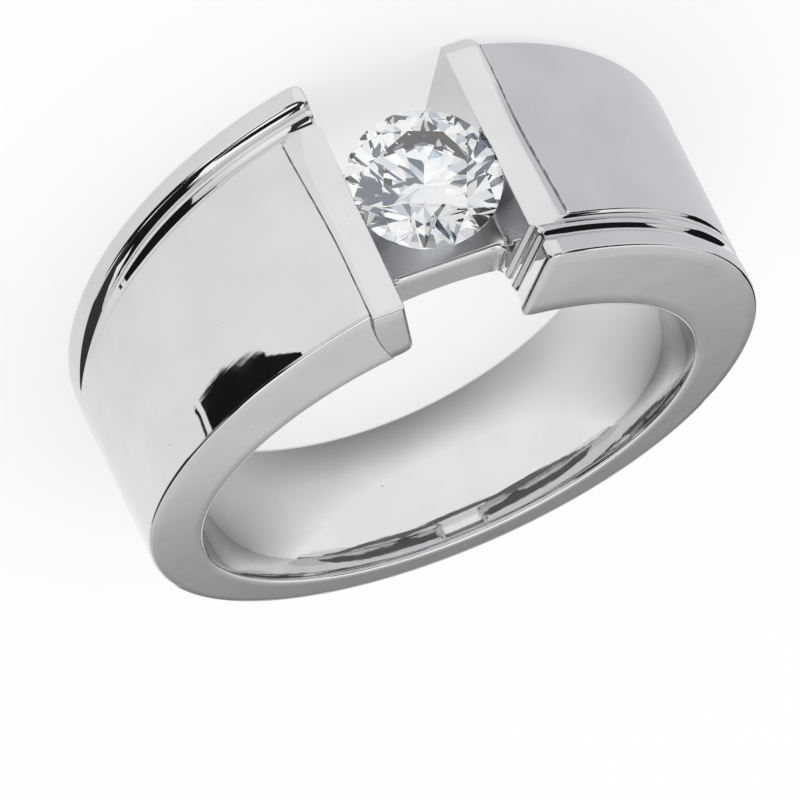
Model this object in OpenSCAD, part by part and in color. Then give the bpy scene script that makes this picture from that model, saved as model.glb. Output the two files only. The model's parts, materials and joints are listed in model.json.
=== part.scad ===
// Bar set ring: a tapered white-metal band whose two wide shoulders end in flat bars
// that hold a round brilliant stone between them, over a bridge plate.
//
// It is drawn as worn, finger hole along Y and stone at the top, and then laid on its
// back side face, which is how it rests. All sizes are in millimetres.

/* [Band] */
// Inner diameter of the finger hole
finger_d = 19.8; // [15:0.1:24]
// Half width of the band at the height of the finger hole's centre
half_width = 3.81; // [2.5:0.05:5]
// Half width gained per millimetre of height, up towards the stone
side_taper = 0.092; // [0:0.002:0.12]
// Wall under the finger, at the bottom
base_wall = 1.50; // [1.2:0.01:2]
// Radius of the outer arc on each side
flank_r = 13.76; // [13.6:0.02:14.4]
// How far each side arc is centred across the middle line
flank_cross = 1.48; // [1.2:0.02:1.8]
// Height of the side arcs' centres above the finger hole's centre
flank_rise = 1.45; // [1.3:0.01:1.6]
// How much each shoulder climbs per millimetre of width, from its plain side to its rim
shoulder_climb = 0.030; // [0:0.002:0.08]
// How far each shoulder's plain side curves in at the height relief_at
plain_relief = 0.45; // [0.1:0.01:0.8]
// Height above the finger hole's centre at which plain_relief is measured
relief_at = 14; // [12:0.5:16]

/* [Bars] */
// Height of the bar tops above the finger hole's centre, at the middle of their length
bar_top = 14.06; // [13.9:0.01:14.4]
// Half of the open space between the bars, at their tops
gap_half = 2.79; // [2.6:0.01:3]
// Lean of the bars' inner walls, inwards per millimetre downwards
wall_lean = 0.166; // [0:0.002:0.25]
// Radius of the bars' lower inner corners
tongue_r = 0.55; // [0.2:0.05:0.8]
// Half width of a bar's outline where its outer seam meets the top
seam_top = 4.15; // [3.9:0.05:4.4]
// Half width of a bar's outline where its outer seam meets the finger hole
seam_foot = 2.85; // [2.6:0.05:3.2]
// How far a bar's plain end stands back from the slanted side face
bar_inset = 0.24; // [0.1:0.02:0.4]
// Radius of the bowed seam between bar and shoulder
seam_r = 15; // [12:0.5:30]
// Half width of the bridge plate that joins the bars
bridge_half = 2.45; // [1.5:0.05:3]
// Height of the bridge plate's top above the finger hole's centre
bridge_top = 11.6; // [11:0.05:12]

/* [Rim] */
// Width of the raised rim at the bar
rim_w = 0.70; // [0.5:0.02:1]
// Extra height of the rim at the top of the band
rim_rise = 0.08; // [0:0.01:0.3]
// Width of the outer groove at the bar
outer_groove_w = 0.52; // [0.3:0.02:0.8]
// Width of the thin ridge between the grooves at the bar
ridge_w = 0.16; // [0.1:0.02:0.3]
// Width of the inner groove at the bar
inner_groove_w = 0.40; // [0.2:0.02:0.6]
// Radius of the rim's corner at the open space between the bars
rim_round = 0.55; // [0.2:0.05:0.8]
// Depth of the grooves below the band's surface
groove_depth = 0.22; // [0.16:0.02:0.5]
// Height of the bend in the grooves, measured from the finger hole's centre
bend_z = 8.0; // [6:0.1:10]
// Width of the raised rim at the bend
bend_rim_w = 0.62; // [0.5:0.02:0.9]
// Width of the inner groove at the bend
bend_inner_w = 0.56; // [0.3:0.02:0.7]
// Height at which the grooves start, measured from the finger hole's centre
groove_start = 1.5; // [0:0.1:4]
// Distance from the side face to the outer groove where it starts
start_inset = 1.14; // [0.8:0.02:1.4]
// Width of both grooves where they start
start_w = 0.10; // [0.08:0.02:0.2]
// Width of the ridge between them where they start
start_ridge_w = 0.06; // [0.06:0.02:0.16]

/* [Stone] */
// Girdle diameter of the stone
stone_d = 5.86; // [5.6:0.02:6]
// Height of the girdle's middle above the finger hole's centre
girdle_z = 13.84; // [13.7:0.01:13.9]
// Girdle thickness as a share of the diameter
girdle_share = 0.025; // [0.015:0.005:0.04]
// Table diameter as a share of the girdle diameter
table_share = 0.57; // [0.5:0.01:0.65]
// Slope of the crown's main facets, in degrees
crown_slope = 34.5; // [30:0.1:38]
// Slope of the pavilion's main facets, in degrees
pavilion_slope = 40.9; // [39:0.1:42]
// Length of the star facets as a share of the way to the girdle
star_share = 0.50; // [0.4:0.01:0.6]
// Length of the lower girdle facets as a share of the way to the culet
lower_share = 0.77; // [0.7:0.01:0.85]
// Air gap between the stone and its seat
seat_gap = 0.04; // [0.02:0.01:0.1]
// Radius of the flat at the bottom of the stone's seat
seat_tip_r = 0.15; // [0.1:0.05:0.3]

/* [Hidden] */
$fn = 96;

bore_r = finger_d / 2;
lie_angle = atan(side_taper);
reach = 40;

// The bottom arc touches each side arc from inside and passes base_wall below the hole.
base_depth = bore_r + base_wall;
arc_room = flank_r - base_depth;
base_rise = (arc_room * arc_room - flank_cross * flank_cross - flank_rise * flank_rise) / (2 * (arc_room - flank_rise));
base_r = base_depth + base_rise;
join_z = base_rise - base_r * (flank_rise - base_rise) / (flank_r - base_r);

function half_w(z) = half_width + side_taper * z;
function gap_x(z) = gap_half - wall_lean * (bar_top - z);

// The upper point on the line from p along dir that lies at the distance away from c
function point_at(p, dir, c, away) =
    let (ahead = (p - c) * dir)
    p + dir * (sqrt(ahead * ahead - (p - c) * (p - c) + away * away) - ahead);

// The bars' inner wall: its direction upwards and into the metal
wall_dir = [wall_lean, 1] / norm([wall_lean, 1]);
wall_in = [1, -wall_lean] / norm([1, wall_lean]);
wall_p = [gap_half, bar_top];

// Lower inner corner of a bar: a round that touches its wall and the finger hole
tongue_c = point_at(wall_p + tongue_r * wall_in, wall_dir, [0, 0], bore_r + tongue_r);

// Upper inner corner of the rim: a round that touches its wall and its outer surface
rim_flank_c = [-flank_cross, flank_rise + rim_rise + shoulder_climb * half_w(bar_top)];
rim_corner_c = point_at(wall_p + rim_round * wall_in, wall_dir, rim_flank_c, flank_r - rim_round);

// Seam of a bar: an arc through its foot at the finger hole and its top
seam_low = [seam_foot, sqrt(bore_r * bore_r - seam_foot * seam_foot)];
seam_high = [seam_top, bar_top];
seam_chord = seam_high - seam_low;
seam_sag_dir = [-seam_chord[1], seam_chord[0]] / norm(seam_chord);
seam_c = (seam_low + seam_high) / 2 + seam_sag_dir * sqrt(seam_r * seam_r - seam_chord * seam_chord / 4);

// Plain side: a wide arc that leaves the slanted side face at the finger hole's centre
relief_r = relief_at * relief_at / (2 * plain_relief);
side_normal = [1, -side_taper] / norm([1, side_taper]);
relief_c = [half_width, 0] - (relief_r - 0.004) * side_normal;

// Stone
girdle_r = stone_d / 2;
girdle_half = girdle_share * stone_d / 2;
table_r = table_share * girdle_r;
crown_h = (girdle_r - table_r) * tan(crown_slope);
half_step = cos(22.5);
quarter_step = cos(11.25);
star_r = table_r * half_step + star_share * (girdle_r - table_r * half_step);
star_z = (girdle_r - star_r * half_step) * tan(crown_slope);
star_slope = atan((crown_h - star_z) / (star_r - table_r * half_step));
upper_slope = atan(star_z / ((girdle_r - star_r) * quarter_step));
pavilion_h = girdle_r * tan(pavilion_slope);
lower_r = (1 - lower_share) * girdle_r / half_step;
lower_z = lower_share * pavilion_h;
lower_slope = atan(lower_z / ((girdle_r - lower_r) * quarter_step));

// Turns a shape from as worn to lying on its back side face
module laid_down() {
    rotate([-lie_angle, 0, 0])
        rotate(a = 180, v = [0, 1, -1])
            children();
}

// Draws an outline given in x and z, through the whole width
module across(width = reach) {
    rotate([90, 0, 0])
        linear_extrude(height = width, center = true)
            children();
}

// Draws an outline given in y and z, from x_from to x_to
module along(x_from, x_to) {
    translate([x_from, 0, 0])
        rotate([90, 0, 90])
            linear_extrude(height = x_to - x_from)
                children();
}

// Outer cylinder of the right shoulder. It climbs towards the front, and slides on
// the bottom arc as it does so.
module flank(grow, lift) {
    join = [flank_cross, 0, base_rise - flank_rise];
    translate([-flank_cross, 0, flank_rise + lift])
        rotate(a = -atan(shoulder_climb), v = join)
            rotate([90, 0, 0])
                cylinder(r = flank_r + grow, h = reach, center = true);
}

// The band as if it were solid and endlessly wide. grow moves its surface outwards
// and lift raises its shoulders.
module band_slab(grow = 0, lift = 0) {
    translate([0, 0, base_rise])
        rotate([90, 0, 0])
            cylinder(r = base_r + grow, h = reach, center = true);
    intersection() {
        flank(grow, lift);
        rotate([0, 0, 180])
            flank(grow, lift);
        translate([-reach / 2, -reach / 2, join_z])
            cube(reach);
    }
}

// Everything between the two slanted side faces
module between_sides() {
    low = -20;
    high = 20;
    along(-reach / 2, reach / 2)
        polygon([[-half_w(low), low], [half_w(low), low], [half_w(high), high], [-half_w(high), high]]);
}

// A strip beside the front face. near and far are the distances of its two edges from
// that face: where the grooves start, at their bend, and at the height of the bar tops.
module front_strip(near, far) {
    top = 18;
    heights = [groove_start, bend_z, bar_top, top];
    grown = (top - bend_z) / (bar_top - bend_z);
    near_edge = concat(near, near[1] + (near[2] - near[1]) * grown);
    far_edge = concat(far, far[1] + (far[2] - far[1]) * grown);
    along(0, reach / 2)
        polygon(concat(
            [for (i = [0:3]) [-half_w(heights[i]) + near_edge[i], heights[i]]],
            [for (i = [3:-1:0]) [-half_w(heights[i]) + far_edge[i], heights[i]]]
        ));
}

// Raised rim of one shoulder
module rim() {
    intersection() {
        band_slab(lift = rim_rise);
        rim_strip();
        between_sides();
    }
}

module rim_strip(extra = 0) {
    front_strip([-1, -1, -1], [start_inset + extra, bend_rim_w + extra, rim_w + extra]);
}

// What the rounded corner of the rim loses beside the open space between the bars
module rim_corner() {
    far = (rim_corner_c - rim_flank_c) / norm(rim_corner_c - rim_flank_c);
    intersection() {
        across()
            corner_waste(rim_corner_c, rim_round, far, [gap_x(bar_top + 2), bar_top + 2]);
        rim_strip(0.1);
    }
}

// The two grooves beside the rim, with the thin ridge between them
module rim_grooves() {
    rim_edge = [start_inset, bend_rim_w, rim_w];
    outer_end = rim_edge + [start_w, outer_groove_w, outer_groove_w];
    ridge_end = outer_end + [start_ridge_w, ridge_w, ridge_w];
    inner_end = ridge_end + [start_w, bend_inner_w, inner_groove_w];
    difference() {
        union() {
            front_strip(rim_edge, outer_end);
            front_strip(ridge_end, inner_end);
        }
        band_slab(grow = -groove_depth);
    }
}

// Flat top of one bar, which stops at the grooves on its rim side
module bar_flat() {
    groove_edge = half_w(bar_top) - rim_w - outer_groove_w - ridge_w - inner_groove_w;
    translate([0, -groove_edge, bar_top + shoulder_climb * groove_edge])
        rotate([-atan(shoulder_climb), 0, 0])
            cube([reach / 2, reach, reach]);
}

// Everything on the bar's side of its bowed seam
module inside_seam() {
    translate([seam_c[0], 0, seam_c[1]])
        rotate([90, 0, 0])
            cylinder(r = seam_r, h = reach, center = true);
}

// What the plain side of one shoulder loses by curving in, up to the seam of its bar
module side_relief() {
    difference() {
        cube([reach / 2, reach / 4, reach / 2]);
        inside_seam();
        translate([0, relief_c[0], relief_c[1]])
            rotate([0, 90, 0])
                cylinder(r = relief_r, h = reach, $fn = 720);
    }
}

// What the plain end of one bar loses by standing back from the side face
module bar_end() {
    intersection() {
        along(0, reach / 2)
            polygon([
                [half_w(0) - bar_inset, 0],
                [half_w(20) - bar_inset, 20],
                [half_w(20) + 1, 20],
                [half_w(0) + 1, 0]
            ]);
        inside_seam();
    }
}

// Each shoulder is the other one turned half round the stone's axis
module both_shoulders() {
    for (turn = [0, 180])
        rotate([0, 0, turn])
            children();
}

// Outline of the space between the bars, above the height low
module gap_outline(low) {
    high = 20;
    polygon([[-gap_x(low), low], [gap_x(low), low], [gap_x(high), high], [-gap_x(high), high]]);
}

// What a round of radius r about c takes off the corner of the right inner wall, when
// the other side that it meets lies in the direction far, and the corner at tip. The
// round runs slightly past both sides, so that it meets them at a clear angle.
module corner_waste(c, r, far, tip) {
    past = 0.02;
    difference() {
        polygon([c, c - (r + 2 * past) * wall_in, tip, c + (r + 2 * past) * far]);
        translate(c)
            circle(r = r + past);
    }
}

// Open space between the bars, clear of the bridge plate
module bar_gap() {
    across()
        gap_outline(bridge_top);
    for (turn = [0, 180])
        rotate([0, 0, turn])
            translate([0, -bridge_half - reach / 4, 0])
                across(reach / 2) {
                    gap_outline(4);
                    for (side = [0, 1])
                        mirror([side, 0])
                            corner_waste(tongue_c, tongue_r, -tongue_c / norm(tongue_c), [gap_x(bore_r - 0.4), bore_r - 0.4]);
                }
}

// Room for the stone: notches in the bars and a dimple in the bridge plate
module stone_room() {
    out = girdle_r + seat_gap;
    up = girdle_half + seat_gap;
    tip_z = girdle_z - girdle_half - pavilion_h - 2 * seat_gap;
    rotate_extrude()
        polygon([
            [0, tip_z],
            [seat_tip_r, tip_z],
            [out, girdle_z - up],
            [out, girdle_z + up],
            [0, girdle_z + up + out * tan(crown_slope)]
        ]);
}

// Grinds a ring of count equal facets on its children. The first one faces the
// direction first. Each plane passes through the point at distance r from the stone's
// axis and height z, with its slope measured from the table: more than 90 faces down.
module facet_ring(count, first, slope, r, z) {
    difference() {
        children();
        for (step = [0:count - 1])
            rotate([0, 0, first + 360 / count * step])
                translate([r, 0, z])
                    rotate([0, slope - 90, 0])
                        translate([0, -stone_d, -stone_d])
                            cube(2 * stone_d);
    }
}

module ring_body() {
    color("gainsboro")
        laid_down()
            difference() {
                union() {
                    difference() {
                        intersection() {
                            band_slab();
                            between_sides();
                        }
                        both_shoulders() {
                            rim_grooves();
                            bar_flat();
                            side_relief();
                            bar_end();
                        }
                    }
                    both_shoulders()
                        rim();
                }
                rotate([90, 0, 0])
                    cylinder(r = bore_r, h = reach, center = true);
                bar_gap();
                both_shoulders()
                    rim_corner();
                stone_room();
            }
}

module stone() {
    rim_r = girdle_r * quarter_step;
    color("aliceblue")
        laid_down()
            translate([0, 0, girdle_z])
                facet_ring(16, 11.25, 180 - lower_slope, rim_r, -girdle_half)
                facet_ring(8, 0, 180 - pavilion_slope, girdle_r, -girdle_half)
                facet_ring(16, 11.25, upper_slope, rim_r, girdle_half)
                facet_ring(8, 22.5, star_slope, star_r, girdle_half + star_z)
                facet_ring(8, 0, crown_slope, girdle_r, girdle_half)
                translate([0, 0, -girdle_half - pavilion_h])
                    cylinder(r = girdle_r, h = pavilion_h + 2 * girdle_half + crown_h);
}

ring_body();
stone();
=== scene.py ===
import json
import math

import bmesh
import bpy
import numpy as np
from mathutils import Matrix, Vector


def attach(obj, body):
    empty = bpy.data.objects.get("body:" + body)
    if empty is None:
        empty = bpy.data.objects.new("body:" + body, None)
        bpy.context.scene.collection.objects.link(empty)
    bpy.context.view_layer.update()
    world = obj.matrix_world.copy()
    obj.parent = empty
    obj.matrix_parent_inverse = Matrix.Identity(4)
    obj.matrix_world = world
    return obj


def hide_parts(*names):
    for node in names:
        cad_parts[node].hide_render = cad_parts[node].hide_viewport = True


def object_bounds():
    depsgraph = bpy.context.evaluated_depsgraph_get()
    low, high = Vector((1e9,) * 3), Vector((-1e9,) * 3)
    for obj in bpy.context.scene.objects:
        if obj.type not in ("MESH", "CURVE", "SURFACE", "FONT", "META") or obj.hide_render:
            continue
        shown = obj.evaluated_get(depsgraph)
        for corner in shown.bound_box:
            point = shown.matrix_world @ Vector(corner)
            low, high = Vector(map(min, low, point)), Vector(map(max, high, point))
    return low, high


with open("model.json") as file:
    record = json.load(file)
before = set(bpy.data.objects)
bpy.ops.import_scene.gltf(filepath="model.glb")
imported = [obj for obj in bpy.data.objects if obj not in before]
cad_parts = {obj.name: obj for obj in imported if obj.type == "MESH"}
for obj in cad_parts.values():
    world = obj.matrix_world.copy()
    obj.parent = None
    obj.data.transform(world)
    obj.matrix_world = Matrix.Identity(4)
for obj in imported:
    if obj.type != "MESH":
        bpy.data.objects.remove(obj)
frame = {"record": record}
cad_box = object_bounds()

# Band, shoulders and bars
# The cast white-metal body of the ring. It is one long loft of cross-sections round the
# finger hole, from the wall of one bar, under the finger, to the wall of the other. The
# right half is worked out, and half a turn about the stone's axis gives the left one.

# Places are those of the ring as worn, in millimetres from the middle of the finger hole:
# x to the right, y away along the finger, z up to the stone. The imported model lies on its
# back side face, so lay_down lays each finished piece down.
finger_bore = next(m for m in frame["record"]["mounts"] if m["name"] == "finger_bore")
finger_r = finger_bore["dims"]["r_mm"]
lean = math.asin(finger_bore["axis"][1])
worn_axes = Matrix(((-1, 0, 0, 0), (0, 0, -1, 0), (0, -1, 0, 0), (0, 0, 0, 1)))
lay_down = Matrix.Rotation(-lean, 4, "X") @ worn_axes @ Matrix.Scale(0.001, 4)

# Width at the middle, how it widens upwards, and the wall under the finger
half_width = 3.803
side_taper = math.tan(lean)
base_wall = 1.50

# The shoulders: an arc for each, its climb across the width, and how far the plain side
# curves in at a height
flank_r = 13.76
flank_centre = np.array([-1.48, 1.45])
shoulder_climb = 0.030
plain_relief, relief_at = 0.45, 14.0

# The bars: the height of their tops, half the space between them, the lean of their end
# walls, the fall of their tops away from the stone and at the seam, and the rounds at
# their walls' feet, at the rim and over the walls' edges
bar_top = 14.06
gap_half = 2.79
wall_lean = 0.166
bar_fall_plain, bar_fall_groove = 0.03, 0.12
fall_starts, fall_runs = -3.3, 8
bar_roll, bar_roll_width = 0.03, 0.26
tongue_r = 0.55
rim_round_r, rim_side_r = 0.50, 0.25
wall_edge_r = 0.05
wall_reach = 1

# The plain end of each bar: how far it stands in, the rounds at its wall corner, at its
# seam corner and over its top edge, and how many degrees further the seam leans there
right_bar_end = (0.02, 0.08, 0.42, 0.22, 0.9)
left_bar_end = (0.24, 0.16, 0.02, 0.05, 0.0)

# The seam beside each bar, which bows and leans across the band. Angles are in degrees.
seam_angle, seam_r = 73.3, 14
bow_from, turn_from = 55, 70
seam_bow, seam_skew = 0.19, 3.4
skew_starts, skew_runs, end_skew_runs = 2, 6, 3.5
seam_width, seam_depth = 0.05, 0.12

# The rim, its two grooves and the ridge between them. Widths are from the side face, and
# they change along these heights.
rim_rise = 0.08
groove_heights = [0.4, 4.5, 8.0, 11.0, bar_top]
rim_edges = [1.26, 0.95, 0.64, 0.62, 0.70]
outer_ends = [1.34, 1.54, 1.26, 1.14, 1.20]
ridge_ends = [1.36, 1.60, 1.38, 1.27, 1.34]
inner_ends = [1.40, 1.72, 1.88, 1.84, 1.74]
outer_depths = [0.0, 0.22, 0.28, 0.21, 0.20]
inner_depths = [0.0, 0.0, 0.11, 0.17, 0.17]
outer_deepest, inner_deepest, groove_round = 0.52, 0.66, 0.30
ridge_drop, ridge_drop_run = 0.05, 5
channel_depth = 0.22
plain_below, plain_blend = -7, 5

# The finger hole's rounded edges and its swell towards them, and the outer edges' round
bore_edge_r, outer_edge_r = 0.20, 0.13
bore_flat, bore_crown = 1.2, 0.28
inner_moves_from, inner_moves_over = -2, 3

# The bottom arc touches each shoulder's arc from inside
base_depth = finger_r + base_wall
arc_room = flank_r - base_depth
cross, rise = -flank_centre[0], flank_centre[1]
base_rise = (arc_room**2 - cross**2 - rise**2) / (2 * (arc_room - rise))
base_r = base_depth + base_rise
join_z = base_rise - base_r * (rise - base_rise) / (flank_r - base_r)
join_way = np.array([cross, base_rise - rise])
join_way /= np.linalg.norm(join_way)
climb_way = shoulder_climb * np.array([join_way[1], -join_way[0]])


def ease(t):
    """From 0 to 1 with a soft start and a soft end."""
    t = np.clip(t, 0.0, 1.0)
    return t * t * (3 - 2 * t)


def half_w(z):
    """Half the band's width at a height."""
    return half_width + side_taper * z


def ray_to_circle(start, way, centre, radius):
    """How far a ray that starts inside a circle runs to reach it. One row each."""
    from_centre = start - centre
    ahead = np.sum(from_centre * way, axis=1)
    return np.sqrt(ahead**2 - np.sum(from_centre**2, axis=1) + radius**2) - ahead


def to_skin(start, way, y, lift):
    """How far rays run from the finger hole to the band's outer surface."""
    centre = flank_centre + np.outer(y, climb_way)
    centre[:, 1] += lift
    flank = ray_to_circle(start, way, centre, flank_r)
    base = ray_to_circle(start, way, np.array([[0.0, base_rise]]), base_r)
    return np.where(start[:, 1] + flank * way[:, 1] > join_z, flank, base)


def to_bar(start, way, y):
    """How far rays run from the finger hole to the flat top of the bar."""
    share = ease((y - fall_starts) / fall_runs)
    fall = bar_fall_groove + (bar_fall_plain - bar_fall_groove) * share
    level = bar_top - shoulder_climb * y + fall * gap_half
    return (level - start[:, 1] - fall * start[:, 0]) / (way[:, 1] + fall * way[:, 0])


# The end wall of the bar meets the finger hole where its sloping line crosses the hole
wall_angle = math.radians(90) - math.atan(wall_lean)
wall_foot_z = finger_r
for _ in range(8):
    wall_foot_z = math.sqrt(finger_r**2 - (gap_half - wall_lean * (bar_top - wall_foot_z)) ** 2)
end_angle = math.degrees(math.acos((gap_half - wall_lean * (bar_top - wall_foot_z)) / finger_r))

# How finely each stretch of a cross-section is divided
corner_steps = 3
corner_arc = np.radians(np.linspace(45, 90, corner_steps + 1))
groove_steps = np.linspace(0, 1, 13)
rim_columns = 6
ridge_steps = np.array([0.15, 0.5, 0.85])
first_bar_column = rim_columns + len(groove_steps) + len(ridge_steps) + len(groove_steps) // 2
last_groove_column = first_bar_column + len(groove_steps) // 2
beside_groove, past_groove = 0.035, 0.12
plain_steps = 9
side_steps = 6


def scoop(t, deepest):
    """The depth across a groove, as a share: two straight walls with a round between."""
    from_bottom = np.where(t < deepest, 1 - t / deepest, (t - deepest) / (1 - deepest))
    full = math.hypot(1, groove_round)
    return (full - np.hypot(from_bottom, groove_round)) / (full - groove_round)


def smooth_line(at, places, values):
    """A value read off a line through some points, with the line's bends rounded."""
    nearby = at + np.linspace(-1.2, 1.2, 13)
    return float(np.mean(np.interp(nearby, places, values)))


def plain_share(z):
    """1 where the band is plain, under the finger, and 0 up where it has its grooves."""
    return 1 - float(ease((z - plain_below) / plain_blend))


def columns(z, width, back_r):
    """The outer surface across the band at one height. Gives each column's distance from
    the rim's side face, its depth in a groove, and its drop at the rounded edges."""
    rim, outer, ridge, inner = [
        smooth_line(z, groove_heights, edge)
        for edge in (rim_edges, outer_ends, ridge_ends, inner_ends)
    ]
    outer_depth = smooth_line(z, groove_heights, outer_depths)
    inner_depth = smooth_line(z, groove_heights, inner_depths)
    ridge_depth = ridge_drop * float(ease((z - groove_heights[0]) / ridge_drop_run))
    across = [outer_edge_r * (1 - math.cos(t)) for t in corner_arc]
    across += [0.5 * rim, rim - beside_groove]
    across += list(rim + (outer - rim) * groove_steps)
    across += list(outer + (ridge - outer) * ridge_steps)
    across += list(ridge + (inner - ridge) * groove_steps)
    across += [inner + beside_groove, inner + past_groove]
    across += list(np.linspace(inner + past_groove, width - back_r, plain_steps + 1)[1:])
    across += [width - back_r * (1 - math.cos(t)) for t in corner_arc[-2::-1]]
    depth = [0] * rim_columns
    depth += list(outer_depth * scoop(groove_steps, outer_deepest) + ridge_depth * groove_steps)
    depth += [ridge_depth] * len(ridge_steps)
    depth += list(inner_depth * scoop(groove_steps, inner_deepest) + ridge_depth * (1 - groove_steps))
    depth += [0] * (2 + plain_steps + corner_steps)
    across, depth = np.array(across), np.array(depth)
    round_drop = np.array([1 - math.sin(t) for t in corner_arc])
    drop = np.zeros(len(across))
    drop[:len(round_drop)] = outer_edge_r * round_drop
    drop[-len(round_drop):] = back_r * round_drop[::-1]
    inside = slice(corner_steps, len(across) - corner_steps)
    even = across.copy()
    even[inside] = np.linspace(outer_edge_r, width - back_r, len(across[inside]))
    return across + (even - across) * plain_share(z), depth, drop


def maths(tree, operation, *values):
    """A sum in a node tree. Each value is a number or another node's output."""
    node = tree.nodes.new("ShaderNodeMath")
    node.operation = operation
    for socket, value in zip(node.inputs, values):
        if isinstance(value, (int, float)):
            socket.default_value = value
        else:
            tree.links.new(value, socket)
    return node.outputs[0]


def blotch_group():
    """Soft blotches that change a value over a surface, from Low to High. Size is in
    millimetres, and Sharp is how hard the blotches' edges are."""
    group = bpy.data.node_groups.new("soft blotches", "ShaderNodeTree")
    for label, value in (("Size", 3.0), ("Sharp", 0.0), ("Low", 0.0), ("High", 1.0)):
        socket = group.interface.new_socket(label, in_out="INPUT", socket_type="NodeSocketFloat")
        socket.default_value = value
    group.interface.new_socket("Value", in_out="OUTPUT", socket_type="NodeSocketFloat")
    nodes, links = group.nodes, group.links
    inputs, outputs = nodes.new("NodeGroupInput"), nodes.new("NodeGroupOutput")
    place = nodes.new("ShaderNodeTexCoord")
    noise = nodes.new("ShaderNodeTexNoise")
    noise.inputs["Detail"].default_value = 3
    links.new(place.outputs["Object"], noise.inputs["Vector"])
    links.new(maths(group, "DIVIDE", 1000, inputs.outputs["Size"]), noise.inputs["Scale"])
    half_range = maths(group, "MULTIPLY_ADD", inputs.outputs["Sharp"], -0.19, 0.2)
    remap = nodes.new("ShaderNodeMapRange")
    remap.interpolation_type = "SMOOTHSTEP"
    links.new(noise.outputs[0], remap.inputs["Value"])
    links.new(maths(group, "MULTIPLY_ADD", half_range, -1, 0.5), remap.inputs["From Min"])
    links.new(maths(group, "MULTIPLY_ADD", half_range, 1, 0.5), remap.inputs["From Max"])
    links.new(inputs.outputs["Low"], remap.inputs["To Min"])
    links.new(inputs.outputs["High"], remap.inputs["To Max"])
    links.new(remap.outputs[0], outputs.inputs["Value"])
    return group


soft_blotches = blotch_group()


def blotches(material, size, low, high, sharp=0.0):
    """Places the blotches in a material and gives their value."""
    node = material.node_tree.nodes.new("ShaderNodeGroup")
    node.node_tree = soft_blotches
    for label, value in (("Size", size), ("Sharp", sharp), ("Low", low), ("High", high)):
        node.inputs[label].default_value = value
    return node.outputs["Value"]


def shade_between(material, value, dark, light):
    """A colour between two, by a value."""
    mix = material.node_tree.nodes.new("ShaderNodeMix")
    mix.data_type = "RGBA"
    mix.inputs[6].default_value, mix.inputs[7].default_value = (*dark, 1), (*light, 1)
    material.node_tree.links.new(value, mix.inputs[0])
    return mix.outputs[2]


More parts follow.
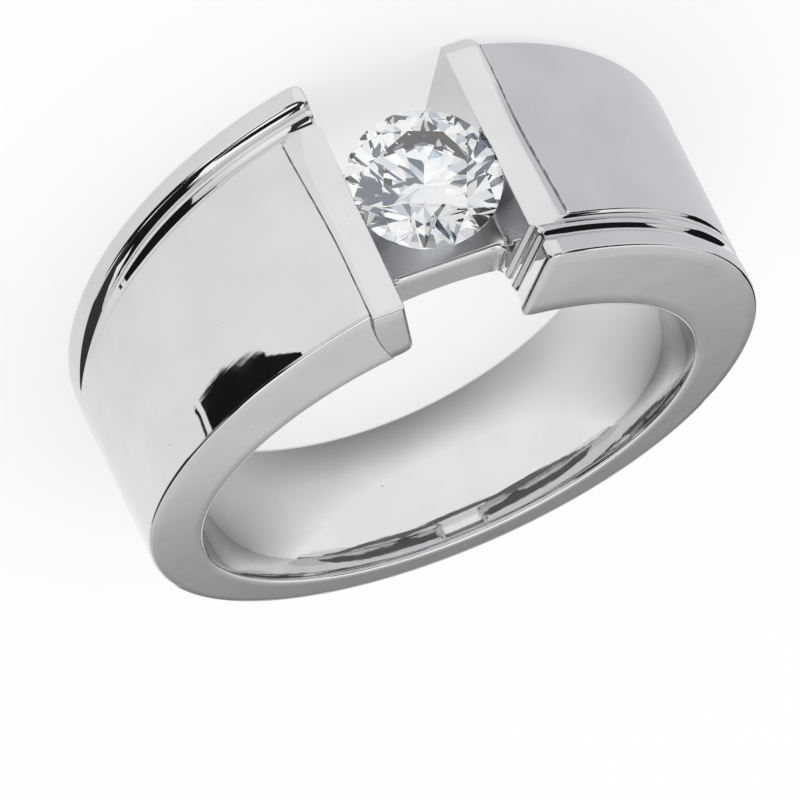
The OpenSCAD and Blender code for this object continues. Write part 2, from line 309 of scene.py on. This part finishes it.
def polished_metal():
    """Polished white metal, with soft waves, fine polishing lines round the band, a few
    pits, and an unbuffed place under the stone that no polishing wheel can reach."""
    metal = bpy.data.materials.new("white_metal")
    metal.use_nodes = True
    tree = metal.node_tree
    nodes, links = tree.nodes, tree.links
    gloss = nodes["Principled BSDF"]
    gloss.inputs["Metallic"].default_value = 1
    colour_waves = blotches(metal, 2.5, 0.0, 1.0)
    colour = shade_between(metal, colour_waves, (0.675, 0.675, 0.69), (0.715, 0.715, 0.725))
    links.new(colour, gloss.inputs["Base Color"])
    place = nodes.new("ShaderNodeTexCoord")

    # The unbuffed place is egg-shaped, with these half lengths in metres, and has a soft edge
    unbuffed_middle = lay_down @ Vector((0, 0, 10.6))
    unbuffed_reach = (0.0034, 0.0020, 0.0030)
    from_middle, by_reach = nodes.new("ShaderNodeVectorMath"), nodes.new("ShaderNodeVectorMath")
    from_middle.operation, by_reach.operation = "SUBTRACT", "MULTIPLY"
    from_middle.inputs[1].default_value = unbuffed_middle
    by_reach.inputs[1].default_value = [1 / reach for reach in unbuffed_reach]
    links.new(place.outputs["Object"], from_middle.inputs[0])
    links.new(from_middle.outputs[0], by_reach.inputs[0])
    away = nodes.new("ShaderNodeVectorMath")
    away.operation = "LENGTH"
    links.new(by_reach.outputs[0], away.inputs[0])
    unbuffed = nodes.new("ShaderNodeMapRange")
    unbuffed.interpolation_type = "SMOOTHSTEP"
    for label, value in (("From Min", 0.9), ("From Max", 1.2), ("To Min", 0.28), ("To Max", 0.0)):
        unbuffed.inputs[label].default_value = value
    links.new(away.outputs["Value"], unbuffed.inputs["Value"])

    # Pits: a few of the cells of a fine pattern have a dot, and the rest have none
    cells = nodes.new("ShaderNodeTexVoronoi")
    cells.inputs["Scale"].default_value = 1500
    links.new(place.outputs["Object"], cells.inputs["Vector"])
    cell_number = nodes.new("ShaderNodeSeparateColor")
    links.new(cells.outputs["Color"], cell_number.inputs[0])
    pit_r = maths(tree, "MULTIPLY", maths(tree, "POWER", cell_number.outputs[0], 4), 0.085)
    pit = maths(tree, "LESS_THAN", cells.outputs["Distance"], pit_r)

    smooth_rough = maths(tree, "ADD", unbuffed.outputs[0], blotches(metal, 1.2, 0.015, 0.045))
    links.new(maths(tree, "MULTIPLY_ADD", pit, 0.45, smooth_rough), gloss.inputs["Roughness"])

    # Polishing lines run round the band, and fade on its side faces
    stretched = nodes.new("ShaderNodeMapping")
    stretched.inputs["Scale"].default_value = (180, 180, 5500)
    links.new(place.outputs["Object"], stretched.inputs["Vector"])
    lines = nodes.new("ShaderNodeTexNoise")
    lines.inputs["Scale"].default_value, lines.inputs["Detail"].default_value = 1, 4
    links.new(stretched.outputs[0], lines.inputs["Vector"])
    facing_up = nodes.new("ShaderNodeVectorMath")
    facing_up.operation, facing_up.inputs[1].default_value = "DOT_PRODUCT", (0, 0, 1)
    links.new(place.outputs["Normal"], facing_up.inputs[0])
    round_band = nodes.new("ShaderNodeMapRange")
    for label, value in (("From Min", 0.5), ("From Max", 0.9), ("To Min", 1.0), ("To Max", 0.1)):
        round_band.inputs[label].default_value = value
    links.new(maths(tree, "ABSOLUTE", facing_up.outputs["Value"]), round_band.inputs["Value"])
    fine = maths(tree, "MULTIPLY", lines.outputs[0], round_band.outputs[0])

    # Each bump lies on the one before. The depths are in metres.
    surface = None
    for height, depth in ((fine, 8e-7), (blotches(metal, 2.2, 0.0, 1.0), 2e-6), (pit, -8e-6)):
        bump = nodes.new("ShaderNodeBump")
        bump.invert = depth < 0
        bump.inputs["Strength"].default_value = 1
        bump.inputs["Distance"].default_value = abs(depth)
        links.new(height, bump.inputs["Height"])
        if surface:
            links.new(surface, bump.inputs["Normal"])
        surface = bump.outputs[0]
    links.new(surface, gloss.inputs["Normal"])
    return metal


def painted_seam_shade():
    """Painted shade: a dark, dull metal that darkens the faces in the bars' outer seams, in soft
    blotches.
    """
    seam_paint = bpy.data.materials.new("painted_seam_shade")
    seam_paint.use_nodes = True
    dull = seam_paint.node_tree.nodes["Principled BSDF"]
    dull.inputs["Metallic"].default_value = 1
    dull.inputs["Roughness"].default_value = 0.45
    shade_blotches = blotches(seam_paint, 0.4, 0.0, 1.0, 0.5)
    colour = shade_between(seam_paint, shade_blotches, (0.22, 0.22, 0.23), (0.42, 0.42, 0.43))
    seam_paint.node_tree.links.new(colour, dull.inputs["Base Color"])
    return seam_paint


def inset(radius, to_wall):
    """How far an edge of this radius has turned in, at a distance from the end wall."""
    left = max(radius - to_wall, 0)
    return radius - math.sqrt(radius**2 - left**2)


def section(angle, seam, to_wall, bar_end):
    """The closed outline of the band at an angle round the finger hole, as four sides.
    seam is 0 on the shoulder, 1 on the bar, and 0.5 in the seam between them. bar_end
    says how far the bar's plain end stands in, the rounds at its corners and over its top
    edge, and how much further the seam leans there. In here h is how far a point lies
    from the finger hole's wall, and e how far it lies in from a side face."""
    bar_inset, wall_corner_r, seam_corner_r, bar_edge_r, end_skew = bar_end
    from_seam = math.radians(angle - seam_angle) * bar_top
    start = finger_r * np.array([math.cos(math.radians(angle)), math.sin(math.radians(angle))])
    turned = float(ease((angle - turn_from) / (end_angle - turn_from)))
    way_angle = math.radians(angle) + (wall_angle - math.radians(end_angle)) * turned
    before = (angle - bow_from) / (seam_angle - bow_from)
    after = (angle - seam_angle) / (end_angle - seam_angle)
    near_seam = float(ease(before) * (1 - ease(after)))
    cut = seam_depth * (seam == 0.5)
    back_r = bar_edge_r if seam > 0 else outer_edge_r
    front_in, back_in = inset(rim_side_r, to_wall), inset(wall_corner_r, to_wall)
    if seam == 1:
        back_in += inset(seam_corner_r, from_seam)
    rolled = bar_roll * (1 - float(ease(from_seam / bar_roll_width)))
    rim_in, bar_in = inset(rim_round_r, to_wall), inset(wall_edge_r, to_wall)
    foot_in = inset(tongue_r, to_wall)

    def line(y):
        """The direction from the finger hole outwards, which leans more at the seam."""
        leaning = seam_skew * ease((skew_starts - y) / skew_runs) + end_skew * ease(y / end_skew_runs)
        skewed = way_angle - np.radians(leaning) * near_seam
        return np.stack([np.cos(skewed), np.sin(skewed)], axis=1)

    def front(z):
        """Where the front side face is at a height."""
        return front_in - half_w(z)

    def back(z):
        """Where the back side face is at a height."""
        relief = plain_relief * (np.maximum(z, 0) / relief_at) ** 2
        end = np.full_like(z, bar_inset)
        stands = {0: relief, 0.5: np.maximum(relief, end) + cut, 1: end}[seam]
        return half_w(z) - stands - back_in

    def points(y, h, bow):
        """Points at these distances, moved round the band by their share of the bow."""
        way = line(y)
        xz = start + way * h[:, None]
        xz += np.stack([way[:, 1], -way[:, 0]], axis=1) * (seam_bow * near_seam * bow)[:, None]
        return np.stack([xz[:, 0], y, xz[:, 1]], axis=1)

    one = np.array([0.0])
    middle = to_skin(start[None], line(one), one, 0)[0]
    middle_z = start[1] + line(one)[0, 1] * middle
    width = float(back(np.array([middle_z]))[0]) + half_w(middle_z)
    across, depth, drop = columns(middle_z, width, back_r)
    number = np.arange(len(across))
    corners = (number < corner_steps) | (number >= len(across) - corner_steps)
    lift = np.where(number <= rim_columns, rim_rise, 0.0)
    starts = np.repeat(start[None], len(across), axis=0)
    y = across - half_w(middle_z)
    for _ in range(3):
        way = line(y)
        skin = to_skin(starts, way, y, lift)
        highest = to_skin(starts, way, y, rim_rise)
        h = np.minimum(skin - depth, highest - rim_in)
        if seam > 0:
            flat = to_bar(starts, way, y) - (cut + rolled) * (number > last_groove_column)
            h = np.where(number >= first_bar_column, np.minimum(skin - depth, flat - bar_in), h)
        h = h - drop
        z = start[1] + way[:, 1] * h
        low_y, high_y = front(z), back(z)
        y = across - half_w(z)
        y = np.where(corners, y, np.clip(y, low_y + outer_edge_r, high_y - back_r))
        y[:corner_steps] = low_y[:corner_steps] + across[:corner_steps]
        y[-corner_steps:] = high_y[-corner_steps:] - (width - across[-corner_steps:])
    outer = points(y, h, np.zeros_like(h))

    def side(edge_h, edge_r, face, sign):
        """Rows up one side face, from the round at the finger hole to the outer one."""
        low_h = foot_in + bore_edge_r * (1 - np.cos(corner_arc))
        low_e = bore_edge_r * (1 - np.sin(corner_arc))
        high_h = edge_h - edge_r * (1 - np.sin(np.pi / 2 - corner_arc[::-1]))
        high_e = edge_r * (1 - np.cos(np.pi / 2 - corner_arc[::-1]))
        middle_h = np.linspace(low_h[-1], high_h[0], side_steps + 1)[1:-1]
        h = np.concatenate([low_h, middle_h, high_h])
        e = np.concatenate([low_e, np.zeros(len(middle_h)), high_e])
        y = np.full(len(h), float(sign))
        for _ in range(3):
            z = start[1] + line(y)[:, 1] * h
            y = face(z) - sign * e
        return points(y, h, 4 * h / edge_h * (1 - h / edge_h))

    corner_drop = 1 - math.sin(math.pi / 4)
    front_side = side(h[0] + outer_edge_r * corner_drop, outer_edge_r, front, -1)
    back_side = side(h[-1] + back_r * corner_drop, back_r, back, 1)
    foot_z = start[1:] + line(one)[0, 1] * foot_in
    front_y, back_y = float(front(foot_z)[0]), float(back(foot_z)[0])
    e = bore_edge_r * (1 - np.cos(corner_arc))
    inner_columns = across[corner_steps:-corner_steps] - half_w(foot_z[0])
    share = ease((inner_columns - inner_moves_from) / inner_moves_over)
    shift = back_y - bore_edge_r - inner_columns[-1]
    inner_columns = np.clip(inner_columns + shift * share, front_y + bore_edge_r, back_y - bore_edge_r)
    even = np.linspace(front_y + bore_edge_r, back_y - bore_edge_r, len(inner_columns))
    inner_columns += (even - inner_columns) * plain_share(middle_z)
    inner_y = np.concatenate([front_y + e[:-1], inner_columns, (back_y - e[:-1])[::-1]])
    round_h = bore_edge_r * (1 - np.sin(corner_arc[:-1]))
    inner_h = foot_in + np.concatenate([round_h, np.zeros(len(inner_columns)), round_h[::-1]])
    past_flat = np.maximum(np.abs(inner_y) - bore_flat, 0) / (half_width - bore_flat)
    inner_h = inner_h + bore_crown * past_flat**2
    inner = points(inner_y, inner_h, np.zeros(len(inner_h)))
    inner[0], inner[-1] = front_side[0], back_side[0]
    channel = channel_depth * depth / outer_depths[-1]
    if to_wall < wall_reach:
        back_away = np.maximum(channel - to_wall, 0)[:, None]
        outer -= back_away * wall_normal
        inner -= back_away * wall_normal
    return front_side, outer, back_side, inner


def loop_of(sides):
    """The four sides of an outline as one round of points."""
    front_side, outer, back_side, inner = sides
    return np.concatenate([front_side[:-1], outer[:-1], back_side[::-1][:-1], inner[::-1][:-1]])


# The stations of the loft: an angle, the seam's value there and the distance to the wall
wall_up = np.array([math.cos(wall_angle), 0, math.sin(wall_angle)])
wall_normal = np.array([-math.sin(wall_angle), 0, math.cos(wall_angle)])
shoulder_stations, clear_of_seam = 132, 1.3
seam_half = math.degrees(seam_width / 2 / seam_r)
mean_r = 12.0
far = 9
beside_seam = 0.12
past_seam = (seam_half, seam_half + beside_seam, 0.45, 0.7, 1.05, 1.4, 1.8)
to_walls = [0.55, 0.46, 0.37, 0.29, 0.22, 0.16, 0.11, 0.07, 0.045, 0.025, 0.01, 0.003, 0]
shoulder_angles = np.linspace(-90, seam_angle - clear_of_seam, shoulder_stations)
stations = [(angle, 0, far) for angle in shoulder_angles]
stations += [(seam_angle - seam_half - beside_seam, 0, far)]
stations += [(seam_angle - seam_half, 0, far), (seam_angle, 0.5, far)]
stations += [(seam_angle + past, 1, far) for past in past_seam]
stations += [(end_angle - math.degrees(to_wall / mean_r), 1, to_wall) for to_wall in to_walls]


def half_band(bar_end):
    """One half of the ring: the points and faces of the loft and of its end wall, and
    which of the faces are in the seam."""
    loops = [loop_of(section(*station, bar_end)) for station in stations]
    front_side, outer, back_side, inner = section(end_angle, 1, 0.0, bar_end)
    n_col, n_row, n_loop = len(outer), len(front_side), len(loops[0])
    last_loop = (len(loops) - 1) * n_loop
    seam_from, seam_to = n_row + last_groove_column, 2 * n_row + n_col - 5
    points = [tuple(p) for loop in loops for p in loop]
    faces, in_seam = [], []
    for i in range(len(loops) - 1):
        cut_here = 0.5 in (stations[i][1], stations[i + 1][1])
        here, there = i * n_loop, (i + 1) * n_loop
        for k in range(n_loop):
            k2 = (k + 1) % n_loop
            faces.append((here + k, here + k2, there + k2, there + k))
            in_seam.append(cut_here and seam_from < k < seam_to)

    def wall_index(i, j):
        """The point at column i and row j of the end wall."""
        if i == 0:
            return last_loop + j
        if j == n_row - 1:
            return last_loop + n_row - 1 + i
        if i == n_col - 1:
            return last_loop + 2 * n_row + n_col - 3 - j
        if j == 0:
            return last_loop + (2 * n_row + 2 * n_col - 4 - i) % n_loop
        return len(loops) * n_loop + (i - 1) * (n_row - 2) + (j - 1)

    # The end wall, filled in from its four edges. The rounds at its sides die out quickly.
    along = np.linspace(0, 1, n_col)[:, None, None]
    climbed = (front_side - front_side[0]) @ wall_up
    up = (climbed / climbed[-1])[None, :, None]
    near_front, near_back = (1 - along) ** 8, along**8
    wall = (1 - up) * inner[:, None] + up * outer[:, None]
    off_front = front_side[None] - ((1 - up) * inner[0] + up * outer[0])
    off_back = back_side[None] - ((1 - up) * inner[-1] + up * outer[-1])
    wall = wall + near_front * off_front + near_back * off_back
    for i in range(1, n_col - 1):
        points += [tuple(wall[i, j]) for j in range(1, n_row - 1)]
    for i in range(n_col - 1):
        for j in range(n_row - 1):
            corners = ((i, j), (i, j + 1), (i + 1, j + 1), (i + 1, j))
            faces.append(tuple(wall_index(*corner) for corner in corners))
            in_seam.append(False)
    return points, faces, in_seam


def cast(name, vertices, faces):
    """A mesh object made of points as worn, in millimetres, and laid down in the frame."""
    mesh = bpy.data.meshes.new(name)
    mesh.from_pydata([lay_down @ Vector(v) for v in vertices], [], faces)
    mesh.update()
    piece = bpy.data.objects.new(name, mesh)
    bpy.context.scene.collection.objects.link(piece)
    return piece


right_points, right_faces, right_seam = half_band(right_bar_end)
left_points, left_faces, left_seam = half_band(left_bar_end)
vertices = right_points + [(-x, -y, z) for x, y, z in left_points]
faces = right_faces + [tuple(i + len(right_points) for i in face) for face in left_faces]
in_seam = right_seam + left_seam
band = cast("band", vertices, faces)
band.data.materials.append(polished_metal())
# The faces in the seam take the second material, a dark painted shade along the seam's crease
band.data.materials.append(painted_seam_shade())
band.data.polygons.foreach_set("material_index", np.array(in_seam, dtype=np.int32))
bm = bmesh.new()
bm.from_mesh(band.data)
bmesh.ops.remove_doubles(bm, verts=bm.verts, dist=1e-8)
bmesh.ops.recalc_face_normals(bm, faces=bm.faces)
bm.to_mesh(band.data)
bm.free()

# Bridge plate
# The plate that joins the two bars under the stone, in the same metal and soldered to
# them. Its front and back faces flare out into the bars, and its long edges are rounded.
bridge_half, bridge_top = 2.45, 11.6
bridge_reach = 3.1
bridge_edge_r = 0.16
flare_r = 0.45
foot_lift, foot_lift_from = 0.25, 2.5
girdle_r, girdle_z, girdle_half = 2.93, 13.84, 0.073
seat_gap, seat_tip_r = 0.04, 0.15
crown_slope, pavilion_slope = math.radians(34.5), math.radians(40.9)


def join(piece, tool, operation):
    """Adds or takes away one closed mesh, and leaves the result as the piece's mesh."""
    change = piece.modifiers.new("join", "BOOLEAN")
    change.operation, change.object, change.solver = operation, tool, "EXACT"
    done = bpy.data.meshes.new_from_object(piece.evaluated_get(bpy.context.evaluated_depsgraph_get()))
    piece.modifiers.remove(change)
    piece.data = done
    bpy.data.objects.remove(tool)


def closed(name, rings):
    """A closed mesh from rings of equally many points, with flat ends."""
    size = len(rings[0])
    points = [p for ring in rings for p in ring]
    faces = [tuple(range(size))[::-1], tuple(range(len(points) - size, len(points)))]
    for i in range(len(rings) - 1):
        for k in range(size):
            k2 = (k + 1) % size
            faces.append((i * size + k, i * size + k2, (i + 1) * size + k2, (i + 1) * size + k))
    piece = cast(name, points, faces)
    mesh = bmesh.new()
    mesh.from_mesh(piece.data)
    bmesh.ops.recalc_face_normals(mesh, faces=mesh.faces)
    mesh.to_mesh(piece.data)
    mesh.free()
    return piece


rings = []
edge_arc = np.radians(np.linspace(0, 90, 7))
for x in np.linspace(-bridge_reach, bridge_reach, 63):
    from_wall = gap_half - wall_lean * (bar_top - bridge_top) - abs(x)
    flare = flare_r - math.sqrt(flare_r**2 - min(max(flare_r - from_wall, 0), flare_r) ** 2)
    half = bridge_half + flare
    low = math.sqrt(finger_r**2 - x * x) + foot_lift * max(abs(x) - foot_lift_from, 0)
    edge_y = [half - bridge_edge_r * (1 - math.cos(t)) for t in edge_arc]
    edge_z = [bridge_top - bridge_edge_r * (1 - math.sin(t)) for t in edge_arc]
    over = [(x, -y, z) for y, z in zip(edge_y, edge_z)]
    over += [(x, y, z) for y, z in zip(edge_y[::-1], edge_z[::-1])]
    rings.append([(x, -half, low)] + over + [(x, half, low)])
join(band, closed("bridge", rings), "UNION")

# The stone's seat: a notch in each bar and a dimple in the plate, a small gap clear of it
out, up = girdle_r + seat_gap, girdle_half + seat_gap
profile = [
    (seat_tip_r, girdle_z - girdle_half - girdle_r * math.tan(pavilion_slope) - 2 * seat_gap),
    (out, girdle_z - up),
    (out, girdle_z + up),
    (seat_tip_r, girdle_z + up + (out - seat_tip_r) * math.tan(crown_slope)),
]
turns = np.radians(np.arange(0, 360, 3))
seat_rings = [[(r * math.cos(t), r * math.sin(t), z) for t in turns] for r, z in profile]
join(band, closed("seat", seat_rings), "DIFFERENCE")
band.data.shade_smooth()
band.modifiers.new("even_normals", "WEIGHTED_NORMAL").keep_sharp = True
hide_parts("ring_body")
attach(band, "root")

# Stone
# The round brilliant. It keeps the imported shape, whose 57 facets are true planes.
stone = bpy.data.objects["stone"]
clear = bpy.data.materials.new("clear_stone")
clear.use_nodes = True
glass = clear.node_tree.nodes["Principled BSDF"]
tint = shade_between(clear, blotches(clear, 1.5, 0.0, 1.0, 0.6), (0.90, 0.95, 0.98), (1, 1, 1))
clear.node_tree.links.new(tint, glass.inputs["Base Color"])
clear.node_tree.links.new(blotches(clear, 0.8, 0.0, 0.02, 0.3), glass.inputs["Roughness"])
glass.inputs["IOR"].default_value = 2.42
glass.inputs["Transmission Weight"].default_value = 1
stone.data.materials.clear()
stone.data.materials.append(clear)

# Floor, light and camera
# A white paper floor under a bright sky of soft light. Dark cards and glowing sheets are
# set round the ring, unseen by the camera, for its metal to mirror and its stone to bend.
bpy.ops.mesh.primitive_plane_add(size=4, location=(0, 0, cad_box[0].z))
floor = bpy.context.object
floor.name = "floor"
paper = bpy.data.materials.new("paper")
paper.use_nodes = True
paper_face = paper.node_tree.nodes["Principled BSDF"]
paper_face.inputs["Base Color"].default_value = (0.30, 0.30, 0.30, 1)
paper_face.inputs["Emission Color"].default_value = (1, 1, 1, 1)
paper_face.inputs["Emission Strength"].default_value = 0.66
paper_face.inputs["Roughness"].default_value = 0.9
paper_face.inputs["Specular IOR Level"].default_value = 0
floor.data.materials.append(paper)

sky = bpy.data.worlds.new("sky")
sky.use_nodes = True
sky_nodes, sky_links = sky.node_tree.nodes, sky.node_tree.links
sky_way = sky_nodes.new("ShaderNodeTexCoord")
sky_height = sky_nodes.new("ShaderNodeSeparateXYZ")
sky_shades = sky_nodes.new("ShaderNodeValToRGB")
sky_links.new(sky_way.outputs["Generated"], sky_height.inputs[0])
sky_links.new(sky_height.outputs["Z"], sky_shades.inputs[0])
sky_links.new(sky_shades.outputs[0], sky_nodes["Background"].inputs["Color"])
low_stop, high_stop = sky_shades.color_ramp.elements
low_stop.position, low_stop.color = 0.10, (0.60, 0.60, 0.61, 1)
high_stop.position, high_stop.color = 0.75, (1.30, 1.30, 1.30, 1)
sky_shades.color_ramp.elements.new(0.45).color = (0.85, 0.85, 0.86, 1)
sky_nodes["Background"].inputs["Strength"].default_value = 1.0
bpy.context.scene.world = sky
bpy.context.scene.view_settings.view_transform = "Standard"


def stand_card(name, foot, height, shade, lift=0.0):
    """A card that stands on the floor along a line of points, in millimetres from the
    ring's middle. Only the ring mirrors it."""
    low = cad_box[0].z + lift / 1000
    high = low + height / 1000
    points = [(x / 1000, y / 1000, z) for z in (low, high) for x, y in foot]
    n = len(foot)
    mesh = bpy.data.meshes.new(name)
    mesh.from_pydata(points, [], [(i, i + 1, n + i + 1, n + i) for i in range(n - 1)])
    card = bpy.data.objects.new(name, mesh)
    bpy.context.scene.collection.objects.link(card)
    matt = bpy.data.materials.new(name)
    matt.use_nodes = True
    face = matt.node_tree.nodes["Principled BSDF"]
    face.inputs["Base Color"].default_value = (shade, shade, shade, 1)
    face.inputs["Roughness"].default_value = 1
    face.inputs["Specular IOR Level"].default_value = 0
    mesh.materials.append(matt)
    card.visible_camera = card.visible_diffuse = False
    card.visible_shadow = card.visible_transmission = False


def arc_foot(radius, start, end):
    """Points of a round foot line, from one compass angle to another."""
    turns = np.radians(np.linspace(start, end, 13))
    return [(radius * math.cos(t), radius * math.sin(t)) for t in turns]


# Shoulders, grooves and edges mirror these as dark patches and dark lines
stand_card("left_card", [(37, -31.5), (27.3, -18.5), (26.5, -5.9)], 9, 0.012)
stand_card("left_strip", [(26.35, -5.0), (26.3, -4.5)], 9, 0.03)
stand_card("left_low_card", arc_foot(60, -29, 6), 40, 0.012, lift=10)
stand_card("left_high_card", arc_foot(60, -20, 6), 140, 0.012, lift=50)
stand_card("left_gap_card", arc_foot(60, 6, 14), 130, 0.012, lift=48)
stand_card("left_back_card", arc_foot(60, 13, 50), 80, 0.05)
stand_card("right_back_card", arc_foot(100, 118, 160), 30, 0.012)
stand_card("right_card", arc_foot(100, 172, 215), 90, 0.012, lift=36)
stand_card("right_top_card", arc_foot(100, 140, 215), 200, 0.12, lift=126)
stand_card("front_high_card", arc_foot(100, -125, -60), 260, 0.04, lift=60)
stand_card("left_edge_card", arc_foot(100, -60, -20), 160, 0.012, lift=140)


def glow_card(name, corners, shades, through_stone=False):
    """A flat sheet with its own light, in shades that run from corner to corner. Corners
    are in millimetres, from the floor up. Only the metal mirrors it, or only the stone."""
    points = [(x / 1000, y / 1000, cad_box[0].z + z / 1000) for x, y, z in corners]
    mesh = bpy.data.meshes.new(name)
    mesh.from_pydata(points, [], [tuple(range(len(corners)))])
    tones = mesh.color_attributes.new("tone", "FLOAT_COLOR", "POINT")
    tones.data.foreach_set("color", [v for shade in shades for v in (*shade, 1)])
    card = bpy.data.objects.new(name, mesh)
    bpy.context.scene.collection.objects.link(card)
    glow = bpy.data.materials.new(name)
    glow.use_nodes = True
    shine = glow.node_tree.nodes["Principled BSDF"]
    tone = glow.node_tree.nodes.new("ShaderNodeAttribute")
    tone.attribute_name = "tone"
    glow.node_tree.links.new(tone.outputs["Color"], shine.inputs["Emission Color"])
    shine.inputs["Base Color"].default_value = (0, 0, 0, 1)
    shine.inputs["Specular IOR Level"].default_value = 0
    shine.inputs["Emission Strength"].default_value = 1
    mesh.materials.append(glow)
    card.visible_camera = card.visible_diffuse = card.visible_shadow = False
    card.visible_glossy, card.visible_transmission = not through_stone, through_stone


def grey(value):
    """A grey shade as a colour."""
    return (value, value, value)


def floor_sheet(name, outline, height, shades):
    """A glow card that lies flat, this many millimetres above the floor."""
    glow_card(name, [(x, y, height) for x, y in outline], shades)


def oblong(x_from, x_to, y_from, y_to):
    """The four corners of a flat sheet, the two at y_from first."""
    return [(x_from, y_from), (x_to, y_from), (x_to, y_to), (x_from, y_to)]


# A glow behind the ring, which its front face mirrors
back_corners = [(0, 80, 14), (-36, 72, 14), (-36, 72, 30), (0, 80, 30)]
glow_card("back_glow", back_corners, [grey(0.20)] * 2 + [grey(0.72)] * 2)

# A faintly blue sheet for the right shoulder, and a bright one in front for the bars
right_edge = [
    (-4.5, -14), (-7, -19), (-11, -25), (-15, -31), (-25, -45),
    (-45, -45), (-45, 14), (-12.6, 14), (-12.6, -3), (-8, -11),
]
floor_sheet("right_sheet", right_edge, 0.05, [(0.74, 0.74, 0.77)] * len(right_edge))
front_edge = [(-4.6, -15), (-7.4, -21), (-11.5, -27), (-24, -60), (6, -60), (3.6, -20), (3.2, -15)]
floor_sheet("front_sheet", front_edge, 0.05, [grey(1.06)] * len(front_edge))

# Sheets in the finger hole, for its wall: bright ones that darken away from the stone, two
# dark ones for the dark band along its near edge, and one that darkens the bridge plate
floor_sheet("hollow_light", oblong(-8, 8, -6, 4), 0.1, [grey(1.08)] * 4)
floor_sheet("hollow_sheet", oblong(-9.6, 9.6, 4, 9.9), 0.1, [grey(1.08)] * 2 + [grey(0.30)] * 2)
left_dark = [
    (-2.4, -9.4), (-2.4, -7.0), (-4.7, -5.2), (-7, -3.2), (-8.4, -1.4),
    (-9.7, 1.2), (-9.6, -2.2), (-7.5, -6.2), (-5, -8.4),
]
floor_sheet("hollow_left", left_dark, 0.15, [grey(0.16)] * len(left_dark))
right_dark = [
    (2.8, -9.2), (5, -8.4), (7.5, -6.2), (9.6, -2), (9.7, 0.6),
    (8.5, -0.9), (6.5, -2.5), (4, -4.6), (2.8, -6.4),
]
floor_sheet("hollow_right", right_dark, 0.15, [grey(0.16)] * len(right_dark))
floor_sheet("bridge_sheet", oblong(-6.5, 6.5, -8.6, -6.2), 0.1, [grey(0.14)] * 4)


def stone_card(name, az, el, size, shade, distance=90):
    """A card for the stone's light alone: the compass angle and height at which it lies
    from the stone, and its width and height, in degrees, and its distance in millimetres."""
    stone_y, stone_up = -13.9, 5
    turns = [math.radians(az + side * size[0] / 2) for side in (-1, 1)]
    slopes = [math.radians(el + side * size[1] / 2) for side in (-1, 1)]
    first, last = [(distance * math.cos(t), stone_y + distance * math.sin(t)) for t in turns]
    low, high = [distance * math.tan(slope) + stone_up for slope in slopes]
    corners = [(*first, low), (*last, low), (*last, high), (*first, high)]
    glow_card(name, corners, [shade] * 4, through_stone=True)


stone_card("stone_sky_left", -120, 12, (50, 27), (0.62, 0.68, 0.74), 130)
stone_card("stone_sky", -65, 12, (60, 27), grey(1.10), 130)
stone_card("stone_dark_high", -95, 50, (66, 36), (0.11, 0.14, 0.18))
stone_card("stone_dark_left", -82, 30, (11, 8), (0.11, 0.14, 0.18))
stone_card("stone_dark_right", -88, 21, (9, 9), (0.09, 0.12, 0.16))
stone_card("stone_dark_side", -65, 16, (6, 12), (0.12, 0.16, 0.20))
stone_card("stone_dark_low", -118, 6, (5, 14), (0.12, 0.14, 0.16))
stone_card("stone_red", -81, 8.5, (5, 5), (0.40, 0.12, 0.12), 22)

# The camera stands where the photo's did, in the ring's axes as worn: its compass angle,
# height and roll, its distance in millimetres, its focal length, and how far right and up
# of the picture's middle the ring's middle lies, in pixels of an 800 pixel picture.
camera_az, camera_el, camera_roll = math.radians(-26.362), math.radians(60.945), math.radians(4.269)
camera_distance, focal_pixels, picture_pixels = 1083.17, 28897.9, 800
centre_right, centre_up = 10.61, 38.99
towards = Vector((
    math.sin(camera_az) * math.cos(camera_el),
    -math.cos(camera_az) * math.cos(camera_el),
    math.sin(camera_el),
))
level = Vector((0, 0, 1)).cross(towards).normalized()
upright = towards.cross(level)
cosine, sine = math.cos(camera_roll), math.sin(camera_roll)
right, upward = cosine * level + sine * upright, -sine * level + cosine * upright
per_pixel = camera_distance / focal_pixels
camera_place = towards * camera_distance
camera_place -= right * (centre_right * per_pixel) + upward * (centre_up * per_pixel)
turn = lay_down.to_3x3().normalized()
camera = bpy.data.objects.new("camera", bpy.data.cameras.new("camera"))
bpy.context.scene.collection.objects.link(camera)
camera.data.sensor_width = 36
camera.data.lens = focal_pixels * camera.data.sensor_width / picture_pixels
camera.data.clip_end = 10
axes = Matrix([turn @ right, turn @ upward, turn @ towards]).transposed()
camera.matrix_world = Matrix.Translation(lay_down @ camera_place) @ axes.to_4x4()
bpy.context.scene.camera = camera
